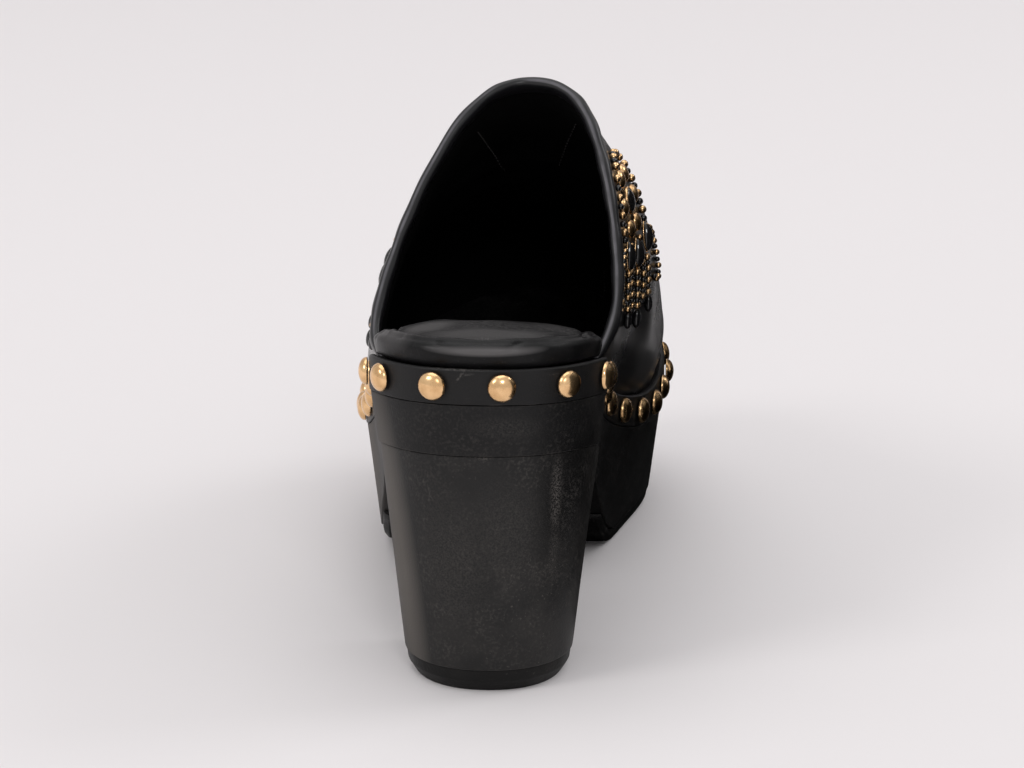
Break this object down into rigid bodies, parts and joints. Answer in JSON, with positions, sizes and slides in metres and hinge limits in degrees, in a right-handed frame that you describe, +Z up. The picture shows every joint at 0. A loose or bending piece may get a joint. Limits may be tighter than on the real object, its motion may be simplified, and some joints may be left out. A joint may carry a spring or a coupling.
{
  "type": "platform clog, left shoe",
  "caption": "Black leather platform clog mule with a tapered block heel, a gold-studded rand and jewelled flanks, the left shoe of a pair.",
  "frame": {"origin": "on the floor under the middle of the shoe's bounding box", "axes": "+Y from the heel to the toe, +X to the inner side of the foot, +Z up"},
  "size_m": [0.102, 0.2576, 0.1595],
  "materials": {
    "leather": "satin",
    "covered_wood": "matte black leather wrap over wood",
    "insole_leather": "matte, rubbed and dusty",
    "rubber": "matte",
    "gold_metal": "polished",
    "jet_stone": "polished"
  },
  "bodies": {
    "root": {"sole": "covered_wood", "outsole": "rubber", "heel": "covered_wood", "heel_tip": "rubber", "rand": "leather", "insole": "insole_leather", "upper": "leather", "topline_binding": "leather", "rand_stud_01": "gold_metal", "rand_stud_02": "gold_metal", "rand_stud_03": "gold_metal", "rand_stud_04": "gold_metal", "rand_stud_05": "gold_metal", "rand_stud_06": "gold_metal", "rand_stud_07": "gold_metal", "rand_stud_08": "gold_metal", "rand_stud_09": "gold_metal", "rand_stud_10": "gold_metal", "rand_stud_11": "gold_metal", "rand_stud_12": "gold_metal", "rand_stud_13": "gold_metal", "rand_stud_14": "gold_metal", "rand_stud_15": "gold_metal", "rand_stud_16": "gold_metal", "rand_stud_17": "gold_metal", "rand_stud_18": "gold_metal", "rand_stud_19": "gold_metal", "rand_stud_20": "gold_metal", "rand_stud_21": "gold_metal", "rand_stud_22": "gold_metal", "rand_stud_23": "gold_metal", "rand_stud_24": "gold_metal", "rand_stud_25": "gold_metal", "rand_stud_26": "gold_metal", "rand_stud_27": "gold_metal", "rand_stud_28": "gold_metal", "rand_stud_29": "gold_metal", "rand_stud_30": "gold_metal", "rand_stud_31": "gold_metal", "vamp_inner_stone_1": "jet_stone", "vamp_inner_dome_1": "gold_metal", "vamp_inner_dome_2": "gold_metal", "vamp_inner_dome_3": "gold_metal", "vamp_inner_dome_4": "gold_metal", "vamp_inner_dome_5": "gold_metal", "vamp_inner_dome_6": "gold_metal", "vamp_inner_drop_1": "jet_stone", "vamp_inner_drop_2": "jet_stone", "vamp_inner_drop_3": "jet_stone", "vamp_outer_stone_1": "jet_stone", "vamp_outer_dome_1": "gold_metal", "vamp_outer_dome_2": "gold_metal", "vamp_outer_dome_3": "gold_metal", "vamp_outer_dome_4": "gold_metal", "vamp_outer_dome_5": "gold_metal", "vamp_outer_dome_6": "gold_metal", "vamp_outer_drop_1": "jet_stone", "vamp_outer_drop_2": "jet_stone", "vamp_outer_drop_3": "jet_stone"}
  },
  "joints": []
}
